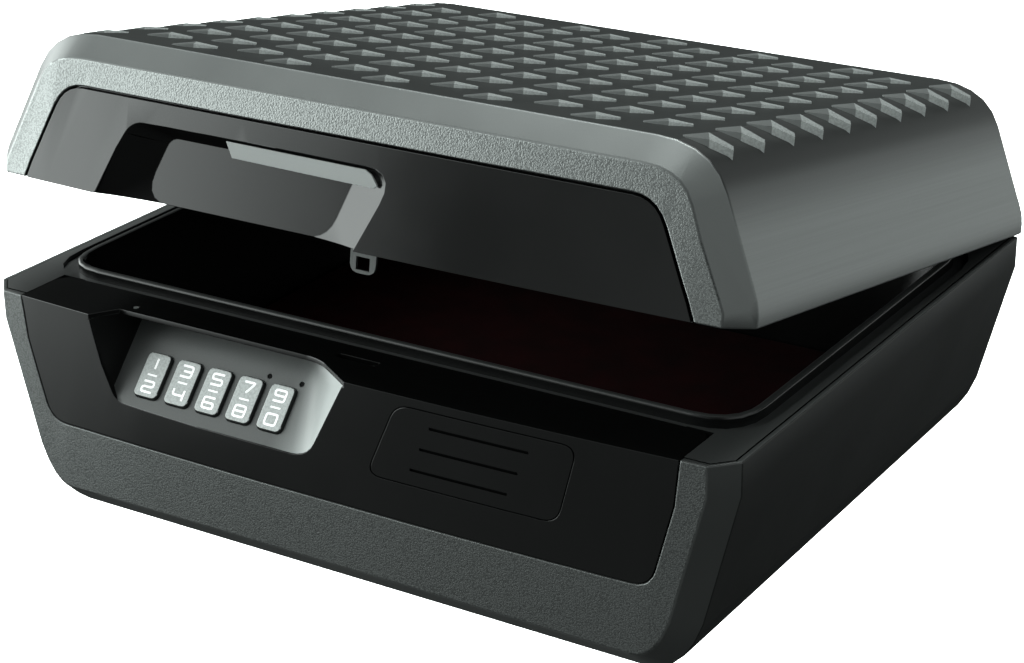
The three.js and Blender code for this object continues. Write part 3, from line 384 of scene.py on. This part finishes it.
def make_looks():
    """Makes every material, with greys by their brightness and bumps by depth in millimetres."""
    grained("base_front", grey(0.10), grey(0.16), 0.38, 0.045, 0.7, metallic=0.8)
    moulded("base_chamfer", grey(0.065), grey(0.085), 0.5, 0.03)
    moulded("base_side", grey(0.014), grey(0.020), 0.5, 0.03, specular=0.2)
    grained("lid_front", grey(0.16), grey(0.25), 0.28, 0.035, 0.7, metallic=0.85)
    moulded("lid_band", grey(0.11), grey(0.15), 0.35, 0.02, metallic=0.35)
    # The lid's side fades over the shoulder into the dark top, and the top is dark too: painted
    # shade.
    sided("lid_side", side=0.14, top=0.012, inner=180, outer=193, roughness=0.45,
          stretch=(300, 6, 900))
    moulded("lid_top", grey(0.018), grey(0.026), 0.5, 0.02, specular=0.05)
    # Lit and shaded copies of the studs' look: the pale half and the walls carry a painted
    # highlight, the dim half painted shade.
    moulded("stud_painted_shade_top", grey(0.07), grey(0.09), 0.5, 0.02, specular=0.1)
    moulded("stud_painted_shade_side", grey(0.24), grey(0.30), 0.5, 0.02, specular=0.1)
    grained("stud_pale_top", grey(0.15), grey(0.21), 0.5, 0.03, 0.9, specular=0.1)
    grained("stud_pale_side", grey(0.56), grey(0.70), 0.5, 0.02, 0.9, specular=0.1)
    moulded("lid_gloss", grey(0.0025), grey(0.0040), 0.16, 0.002)
    moulded("scoop_shade", grey(0.0015), grey(0.003), 0.4, 0.002, specular=0.08)
    moulded("base_gloss", grey(0.0025), grey(0.0040), 0.18, 0.002)
    # The pocket's floor and right wall pale toward the right: painted reflection.
    painted_reflection_graded("pocket", grey(0.09), grey(0.54), start=-34, end=2, roughness=0.36, specular=0.4)
    moulded("liner", grey(0.004), grey(0.007), 0.25, 0.005)
    moulded("pocket_shade", grey(0.004), grey(0.007), 0.4, 0.004, specular=0.15)
    # Near-black matte for the door's grooves: painted shade in the recesses.
    moulded("groove", grey(0.001), grey(0.002), 0.8, 0.01, specular=0.03)
    moulded("rim", grey(0.032), grey(0.044), 0.4, 0.02, specular=0.4)
    grained("filling", (0.42, 0.38, 0.31, 1), (0.56, 0.52, 0.44, 1), 0.95, 0.3, 1.8)
    felted("felt", (0.012, 0.0008, 0.0012, 1), (0.06, 0.003, 0.005, 1))
    grained("key", grey(0.55), grey(0.68), 0.42, 0.008, 0.9)
    # Near-black sides of the keys: painted shade.
    moulded("key_painted_shade_side", grey(0.03), grey(0.05), 0.5, 0.01, specular=0.2)
    # The digits' glow is painted light.
    painted_glow("digit", (0.95, 0.97, 0.97, 1), 0.45, 0.4)
    moulded("trim", grey(0.34), grey(0.40), 0.4, 0.01)
    moulded("rubber", grey(0.012), grey(0.018), 0.8, 0.05)
    moulded("board", (0.01, 0.075, 0.03, 1), (0.016, 0.11, 0.045, 1), 0.45, 0.02)
    moulded("lamp", grey(0.003), grey(0.005), 0.4, 0.01, specular=0.05)
    moulded("lens", grey(0.16), grey(0.2), 0.12, 0.005)
    moulded("plastic", grey(0.014), grey(0.02), 0.5, 0.03)
    moulded("cell", grey(0.03), grey(0.045), 0.35, 0.005)
    brushed("steel", grey(0.42), grey(0.55), 0.35, (700, 40, 40), 0.01, 1.0)
    brushed("hook", grey(0.07), grey(0.10), 0.45, (700, 40, 40), 0.01, 0.5)
    brushed("brass", (0.42, 0.30, 0.12, 1), (0.55, 0.40, 0.17, 1), 0.35, (500, 500, 60), 0.01, 1.0)
    moulded("floor", grey(0.86), grey(0.9), 0.9, 0.0)


NODE_LOOKS = {
    "base_insulation": "filling", "lid_insulation": "filling", "lid_gasket": "rubber",
    "keypad_mat": "rubber", "keypad_board": "board", "status_lamp_left": "lamp",
    "status_lamp_right": "lamp", "ledge_lamp": "lens", "battery_tray": "plastic",
    "contact_left": "steel", "contact_right": "steel", "latch_frame": "steel",
    "latch_motor": "steel", "latch_pinion": "brass", "latch_bolt": "steel", "latch_hook": "hook",
}


def dress_nodes():
    """Gives every node that stays its material."""
    for name, node in nodes.items():
        look = NODE_LOOKS.get(name)
        if name.startswith("cell_"):
            look = "cell"
        if name.startswith("hinge_"):
            look = "steel"
        if look:
            node.data.materials.clear()
            node.data.materials.append(LOOKS[look])


# ---- Refined copies of nodes ----

def welded(name, to_local=None, near=0.02):
    """A node's mesh as one clean skin, in the frame that to_local gives."""
    skin = bmesh.new()
    skin.from_mesh(nodes[name].data)
    bmesh.ops.remove_doubles(skin, verts=skin.verts, dist=near * MM)
    bmesh.ops.dissolve_limit(skin, angle_limit=FLAT_FOLD, verts=skin.verts, edges=skin.edges)
    for face in skin.faces:
        face.material_index = 0
    if to_local:
        skin.transform(to_local)
    skin.normal_update()
    return skin


def fold(edge):
    """Angle between an edge's two faces."""
    return edge.calc_face_angle(0.0) if len(edge.link_faces) == 2 else 0.0


def round_edges(skin, width, segments, chosen):
    """Rounds the edges that a test chooses, to a width in millimetres."""
    edges = [edge for edge in skin.edges if chosen(edge)]
    bmesh.ops.bevel(
        skin, geom=edges, offset=width * MM, offset_type="OFFSET", segments=segments, profile=0.5,
        affect="EDGES", clamp_overlap=False, loop_slide=True, material=-1)
    skin.normal_update()


def new_object(name, data):
    item = bpy.data.objects.new(name, data)
    bpy.context.scene.collection.objects.link(item)
    return item


def finish_piece(skin, name, looks, body, node, from_local=None):
    """Turns a skin into an object that rides on a body and may stand for a node."""
    if from_local:
        skin.transform(from_local)
    for face in skin.faces:
        face.smooth = True
    for edge in skin.edges:
        edge.smooth = fold(edge) < SMOOTH_BELOW
    mesh = bpy.data.meshes.new(name)
    skin.to_mesh(mesh)
    skin.free()
    for look in looks:
        mesh.materials.append(LOOKS[look])
    piece = new_object(name, mesh)
    normals = piece.modifiers.new("even_normals", "WEIGHTED_NORMAL")
    normals.keep_sharp = True
    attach(piece, body)
    if node:
        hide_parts(node)
    return piece


def base_look(face):
    """Name of the look that a face of the base housing takes."""
    centre = face.calc_center_median() / MM
    if face.normal.y < -FRONT_FACING and centre.y < BASE_FACE_Y:
        return "base_front"
    if face.normal.y < -SLOPE_FACING and centre.y < BASE_CHAMFER_Y:
        return "base_chamfer"
    if face.normal.z > TOP_FACING and centre.z > RIM_FLOOR_Z:
        return "rim"
    return "base_side"


def base_shell():
    """The base housing: a grained front, smooth chamfers and dark sides."""
    skin = welded("base_shell", near=0.25)
    looks = ["base_front", "base_chamfer", "base_side", "rim"]
    for face in skin.faces:
        face.material_index = looks.index(base_look(face))
    round_edges(skin, HOUSING_ROUND, 3, lambda edge: fold(edge) > HOUSING_FOLD)
    finish_piece(skin, "base_housing", looks, "base", "base_shell")


def lid_look(face):
    """Name of the look that a face of the lid housing takes."""
    centre = face.calc_center_median() / MM
    in_band = face.normal.y < -SLOPE_FACING and centre.y < LID_BAND_Y
    in_rear = face.normal.y > REAR_FACING and centre.y > LID_REAR_Y
    if face.normal.y < -FRONT_FACING and centre.y < LID_FACE_Y:
        return "lid_front"
    if in_band or in_rear:
        return "lid_band"
    # A stud's half beyond its crease takes the paler copy and the other half the darker one, and
    # its walls are paler than its top: painted light and shade.
    if is_stud_face(face):
        tone = "pale" if past_crease(centre) else "painted_shade"
        part = "side" if face.normal.z < STUD_TOP_FACING else "top"
        return f"stud_{tone}_{part}"
    # The top's dark look is painted shade.
    if abs(face.normal.x) < SHOULDER_FACING and centre.z > LID_TOP_LOW_Z:
        return "lid_top"
    return "lid_side"


def lid_shell():
    """The lid housing: grained front, smooth band, satin sides, a top darkened with painted shade
    and studs with painted light and shade.
    """
    skin = welded("lid_shell", CLOSED_TO_REST.inverted(), near=0.05)
    looks = ["lid_front", "lid_band", "lid_side", "lid_top",
             "stud_painted_shade_top", "stud_painted_shade_side", "stud_pale_top", "stud_pale_side"]
    for face in skin.faces:
        face.material_index = looks.index(lid_look(face))
    round_edges(skin, KINK_ROUND, 4, is_side_kink)
    round_edges(skin, HOUSING_ROUND, 3, is_housing_fold)
    finish_piece(skin, "lid_housing", looks, "lid", "lid_shell", CLOSED_TO_REST)


def past_crease(centre):
    """True on the half of a stud beyond the crease across its middle."""
    column = round((centre.x - TREAD_SHIFT_X) / TREAD_PITCH_X)
    start = TREAD_FIRST_Y + (TREAD_PITCH_Y / 2 if column % 2 else 0)
    row = round((centre.y - start) / TREAD_PITCH_Y)
    from_x = centre.x - TREAD_SHIFT_X - column * TREAD_PITCH_X
    from_y = centre.y - start - row * TREAD_PITCH_Y
    return from_x * math.cos(TREAD_TURN) + from_y * math.sin(TREAD_TURN) > 0


def is_side_kink(edge):
    """True for the long outer edge along a side where the housing starts to lean in."""
    ends = [vertex.co / MM for vertex in edge.verts]
    outer = all(abs(end.x) > SIDE_X for end in ends)
    return outer and abs(ends[0].y - ends[1].y) > SIDE_EDGE and KINK_FOLD < fold(edge) < SHARP_FOLD


def is_housing_fold(edge):
    """True for the folds of the shell itself, not those of its tread."""
    on_shell = all(not is_tread_point(vertex.co / MM) for vertex in edge.verts)
    return on_shell and fold(edge) > HOUSING_FOLD


def is_tread_point(point):
    return TREAD_Y[0] < point.y < TREAD_Y[1] and point.z > TREAD_LOW_Z


def is_stud_face(face):
    """True for the faces that stand out of the lid's top."""
    return any(
        vertex.co.z / MM > top_height(vertex.co.x / MM) + STUD_RISE for vertex in face.verts)


def top_height(x):
    """Height of the closed lid's outside at a place across it: flat, then a parabola's arc."""
    square = LID_FLAT_X - 2 * LID_CURVE_X + LID_SHOULDER_X
    single = 2 * (LID_CURVE_X - LID_FLAT_X)
    constant = LID_FLAT_X - max(abs(x), LID_FLAT_X)
    along = (math.sqrt(max(0.0, single * single - 4 * square * constant)) - single) / (2 * square)
    return LID_TOP_Z - LID_SHOULDER_DROP * along * along


def front_panel(node, name, body, looks, zone, to_rest=None):
    """A glossy panel. A face's zone says which look it takes, and zones meet in crisp edges."""
    skin = welded(node, to_rest.inverted() if to_rest else None, near=0.25)
    for face in skin.faces:
        face.material_index = zone(face.calc_center_median() / MM, face.normal)
    round_edges(skin, PANEL_ROUND, 2, lambda edge: fold(edge) > PANEL_FOLD or parts_zones(edge))
    finish_piece(skin, name, looks, body, node, to_rest)


def parts_zones(edge):
    """True for a fold between faces of two different zones."""
    zones = {face.material_index for face in edge.link_faces}
    return len(zones) == 2 and fold(edge) > ZONE_FOLD


def base_zone(centre, normal):
    """The keypad pocket is 1, its shaded left wall 2 and the rest of the base panel 0."""
    in_outline = POCKET_X[0] < centre.x < POCKET_X[1] and POCKET_Z[0] < centre.z < POCKET_Z[1]
    inside = in_outline and centre.y > POCKET_MOUTH_Y
    if inside and normal.y > -POCKET_FLOOR_FACING:
        return 2 if normal.x > POCKET_SIDE_FACING else 1
    return 0


def lid_zone(centre, normal):
    """The floor of the lid panel's scoop is 2, its right wall 3, its other walls 1, the rest 0."""
    in_outline = SCOOP_X[0] < centre.x < SCOOP_X[1] and centre.z < SCOOP_HIGH_Z
    inside = in_outline and centre.y > SCOOP_MOUTH_Y
    if inside and normal.y < -SCOOP_FLOOR_FACING:
        return 2
    if inside and normal.y > -SCOOP_WALL_FACING:
        return 3 if normal.x < -SCOOP_SIDE_FACING else 1
    return 0


def scoop_trim():
    """The pale plate under the upper edge of the grip scoop."""
    skin = bmesh.new()
    front = [skin.verts.new(Vector((x, TRIM_FRONT_Y, RIM_Z + up)) * MM) for x, up in TRIM_OUTLINE]
    back = [skin.verts.new(Vector((x, TRIM_BACK_Y, RIM_Z + up)) * MM) for x, up in TRIM_OUTLINE]
    skin.faces.new(front)
    skin.faces.new(reversed(back))
    for index, corner in enumerate(front):
        onward = (index + 1) % len(front)
        skin.faces.new((corner, back[index], back[onward], front[onward]))
    bmesh.ops.recalc_face_normals(skin, faces=skin.faces)
    round_edges(skin, TRIM_ROUND, 2, lambda edge: fold(edge) > SQUARE_FOLD)
    finish_piece(skin, "scoop_trim", ["trim"], "lid", None, CLOSED_TO_REST)


def folds_above(least, height):
    """Chooses the edges that fold by more than an angle and lie above a height."""
    def chosen(edge):
        return fold(edge) > least and min(vertex.co.z for vertex in edge.verts) / MM > height
    return chosen


def base_liner():
    """The tub with its rim and the bead of its lip."""
    skin = welded("base_liner")
    for face in skin.faces:
        is_rim = face.normal.z > TOP_FACING and face.calc_center_median().z > RIM_FLOOR_Z * MM
        face.material_index = 1 if is_rim else 0
    round_edges(skin, LIP_ROUND, 4, folds_above(SHARP_FOLD, LIP_LOW_Z))
    finish_piece(skin, "tub_and_rim", ["liner", "rim"], "base", "base_liner")


def lid_liner():
    """The lining of the lid."""
    skin = welded("lid_liner", CLOSED_TO_REST.inverted())
    finish_piece(skin, "lid_lining", ["liner"], "lid", "lid_liner", CLOSED_TO_REST)


def battery_cover():
    """The battery door: glossy, with three grooves darkened with painted shade."""
    skin = welded("battery_cover", near=0.1)
    for face in skin.faces:
        face.material_index = 1 if in_groove(face) else 0
    round_edges(
        skin, DOOR_ROUND, 2, lambda edge: fold(edge) > SHARP_FOLD and not edges_groove(edge))
    looks = ["base_gloss", "groove"]
    finish_piece(skin, "battery_cover_form", looks, "battery_door", "battery_cover")


def in_groove(face):
    """True when all corners of a face are close to the height of one groove."""
    heights = [vertex.co.z / MM for vertex in face.verts]
    return any(
        max(abs(height - middle) for height in heights) < GROOVE_REACH for middle in GROOVES)


def edges_groove(edge):
    """True for an edge of a groove's face."""
    return any(face.material_index == 1 for face in edge.link_faces)


def key_cap(name):
    """One key: a pale top with rounded edges and sides darkened with painted shade."""
    skin = welded(name, KEYPAD.inverted())
    for face in skin.faces:
        face.material_index = 0 if face.normal.z > KEY_TOP_FACING else 1
    round_edges(skin, KEY_ROUND, 3, folds_above(SHARP_FOLD, KEY_TOP - KEY_EDGE))
    looks = ["key", "key_painted_shade_side"]
    finish_piece(skin, f"{name}_cap", looks, f"button{name[3:]}", name, KEYPAD)


# ---- Digits ----

STROKES = {
    "0": [[(0, 0), (1, 0), (1, 1), (0, 1), (0, 0)]],
    "1": [[(0.5, 0), (0.5, 1)]],
    "2": [[(0, 1), (1, 1), (1, 0.5), (0, 0.5), (0, 0), (1, 0)]],
    "3": [[(0, 1), (1, 1), (1, 0), (0, 0)], [(0.2, 0.5), (1, 0.5)]],
    "4": [[(0, 1), (0, 0.45), (1, 0.45)], [(1, 1), (1, 0)]],
    "5": [[(1, 1), (0, 1), (0, 0.5), (1, 0.5), (1, 0), (0, 0)]],
    "6": [[(1, 1), (0, 1), (0, 0), (1, 0), (1, 0.5), (0, 0.5)]],
    "7": [[(0, 1), (1, 1), (0.4, 0)]],
    "8": [[(0, 0), (1, 0), (1, 1), (0, 1), (0, 0)], [(0, 0.5), (1, 0.5)]],
    "9": [[(1, 0.5), (0, 0.5), (0, 1), (1, 1), (1, 0), (0, 0)]],
}


def ribbon(skin, points, width, height):
    """A flat mitred stroke through points at one height."""
    closed = points[0] == points[-1]
    line = [Vector(point) for point in (points[:-1] if closed else points)]
    rows = []
    for index, point in enumerate(line):
        before = line[index - 1] if closed or index > 0 else None
        after = line[(index + 1) % len(line)] if closed or index < len(line) - 1 else None
        coming = (point - before).normalized() if before else (after - point).normalized()
        going = (after - point).normalized() if after else coming
        side = Vector((-coming.y - going.y, coming.x + going.x)) / (1 + coming.dot(going))
        left = point + side * width / 2
        right = point - side * width / 2
        rows.append([skin.verts.new((*(spot * MM), height * MM)) for spot in (left, right)])
    count = len(rows) if closed else len(rows) - 1
    for index in range(count):
        here = rows[index]
        onward = rows[(index + 1) % len(rows)]
        skin.faces.new((here[0], here[1], onward[1], onward[0]))


def softened(points, corner):
    """The same stroke with its corners cut round."""
    closed = points[0] == points[-1]
    line = [Vector(point) for point in (points[:-1] if closed else points)]
    rounded = []
    for index, point in enumerate(line):
        if not closed and index in (0, len(line) - 1):
            rounded.append(point)
            continue
        before = line[index - 1]
        after = line[(index + 1) % len(line)]
        start = point + (before - point).normalized() * corner
        end = point + (after - point).normalized() * corner
        middle = (start + end) / 4 + point / 2
        rounded += [start, middle, end]
    return rounded + rounded[:1] if closed else rounded


def key_digits(name, x):
    """The two digits of a key with a short bar between them."""
    skin = bmesh.new()
    upper, lower = name.split("_")[1:]
    height = KEY_TOP + DIGIT_LIFT
    for digit, middle in ((upper, KEY_UP + DIGIT_SHIFT), (lower, KEY_UP - DIGIT_SHIFT)):
        for stroke in STROKES[digit]:
            points = [(x + (u - 0.5) * DIGIT_WIDTH, middle + (v - 0.5) * DIGIT_HEIGHT)
                      for u, v in stroke]
            ribbon(skin, softened(points, DIGIT_CORNER), DIGIT_STROKE, height)
    ribbon(skin, [(x - BAR_WIDTH / 2, KEY_UP), (x + BAR_WIDTH / 2, KEY_UP)], BAR_STROKE, height)
    skin.normal_update()
    finish_piece(skin, f"{name}_digits", ["digit"], f"button{name[3:]}", None, KEYPAD)


def keys():
    """The five keys and their digits, from the left."""
    names = ["key_1_2", "key_3_4", "key_5_6", "key_7_8", "key_9_0"]
    for index, name in enumerate(names):
        key_cap(name)
        key_digits(name, LAST_KEY_X - (len(names) - 1 - index) * KEY_PITCH)


def floor_felt():
    """The felt in the tub: its top is matted and its edge is soft."""
    skin = welded("floor_pad")
    round_edges(skin, PAD_ROUND, 3, folds_above(SQUARE_FOLD, PAD_LOW_Z))
    piece = finish_piece(skin, "floor_felt", ["felt"], "base", "floor_pad")


# ---- Light, floor and camera ----

def studio_world():
    """A soft dome, brighter overhead, with soft cards of light at given directions."""
    world = bpy.data.worlds.new("studio")
    world.use_nodes = True
    bpy.context.scene.world = world
    graph = Graph(world.node_tree)
    background = world.node_tree.nodes["Background"]
    where = graph.add("ShaderNodeTexCoord").outputs["Generated"]
    parts = graph.add("ShaderNodeSeparateXYZ", {"Vector": where})
    to_left = graph.maths("MULTIPLY", parts.outputs["X"], -1.0)
    to_front = graph.maths("MULTIPLY", parts.outputs["Y"], -1.0)
    azimuth = graph.maths("ARCTAN2", to_left, to_front)
    elevation = graph.maths("ARCSINE", parts.outputs["Z"])
    low_end, high_end = map(math.radians, DOME_FADE)
    total = graph.ramp(elevation, low_end, high_end, DOME_LOW, DOME_HIGH)
    for middle, half_width, soft_side, low, soft_low, high, soft_high, strength in LIGHT_CARDS:
        turned = graph.maths("SUBTRACT", azimuth, math.radians(middle))
        away = graph.maths("ABSOLUTE", graph.maths("WRAP", turned, math.pi, -math.pi))
        side, faded = math.radians(half_width), math.radians(half_width + soft_side)
        across = graph.ramp(away, side, faded, 1.0, 0.0)
        above = graph.ramp(elevation, math.radians(low - soft_low), math.radians(low))
        below = graph.ramp(elevation, math.radians(high), math.radians(high + soft_high), 1.0, 0.0)
        upright = graph.maths("MULTIPLY", above, below)
        light = graph.maths("MULTIPLY", graph.maths("MULTIPLY", across, upright), strength)
        total = graph.maths("ADD", total, light)
    background.inputs["Color"].default_value = LIGHT_TINT
    graph.link(total, background.inputs["Strength"])


def studio_floor():
    """A pale floor that is seen by the camera and lights and mirrors nothing."""
    mesh = bpy.data.meshes.new("floor")
    skin = bmesh.new()
    bmesh.ops.create_grid(skin, x_segments=1, y_segments=1, size=FLOOR_HALF)
    skin.to_mesh(mesh)
    skin.free()
    floor = new_object("floor", mesh)
    floor.location.z = FLOOR_Z
    mesh.materials.append(LOOKS["floor"])
    floor.visible_glossy = False
    floor.visible_diffuse = False
    floor.visible_shadow = False
    return floor


def floor_light(floor):
    """A soft overhead light for the floor alone."""
    data = bpy.data.lights.new("floor_light", "AREA")
    data.shape = "DISK"
    data.size = FLOOR_LIGHT_SIZE
    data.energy = FLOOR_LIGHT_POWER
    data.use_shadow = False
    lamp = new_object("floor_light", data)
    lamp.location = (0, 0, FLOOR_LIGHT_HEIGHT)
    group = bpy.data.collections.new("floor_only")
    group.objects.link(floor)
    lamp.light_linking.receiver_collection = group


def photo_camera():
    """The camera of the photograph, from its yaw, pitch and roll."""
    forward = Vector((
        math.sin(CAMERA_YAW) * math.cos(CAMERA_PITCH),
        math.cos(CAMERA_YAW) * math.cos(CAMERA_PITCH),
        -math.sin(CAMERA_PITCH)))
    level = Vector((math.cos(CAMERA_YAW), -math.sin(CAMERA_YAW), 0))
    upward = level.cross(forward)
    right = level * math.cos(CAMERA_ROLL) + upward * math.sin(CAMERA_ROLL)
    top = upward * math.cos(CAMERA_ROLL) - level * math.sin(CAMERA_ROLL)
    data = bpy.data.cameras.new("camera")
    data.sensor_width = CAMERA_SENSOR
    data.lens = CAMERA_LENS
    camera = new_object("camera", data)
    turn = Matrix((right, top, -forward)).transposed().to_4x4()
    camera.matrix_world = Matrix.Translation(CAMERA_PLACE) @ turn
    bpy.context.scene.camera = camera


photo_camera()
bpy.context.scene.view_settings.view_transform = "Standard"
make_looks()
dress_nodes()
base_shell()
lid_shell()
front_panel(
    "base_front_panel", "base_panel", "base", ["base_gloss", "pocket", "pocket_shade"], base_zone)
front_panel(
    "lid_front_panel", "lid_panel", "lid", ["lid_gloss", "scoop_shade", "lid_gloss", "lid_gloss"],
    lid_zone, CLOSED_TO_REST)
scoop_trim()
base_liner()
lid_liner()
battery_cover()
keys()
floor_felt()
studio_world()
floor_light(studio_floor())
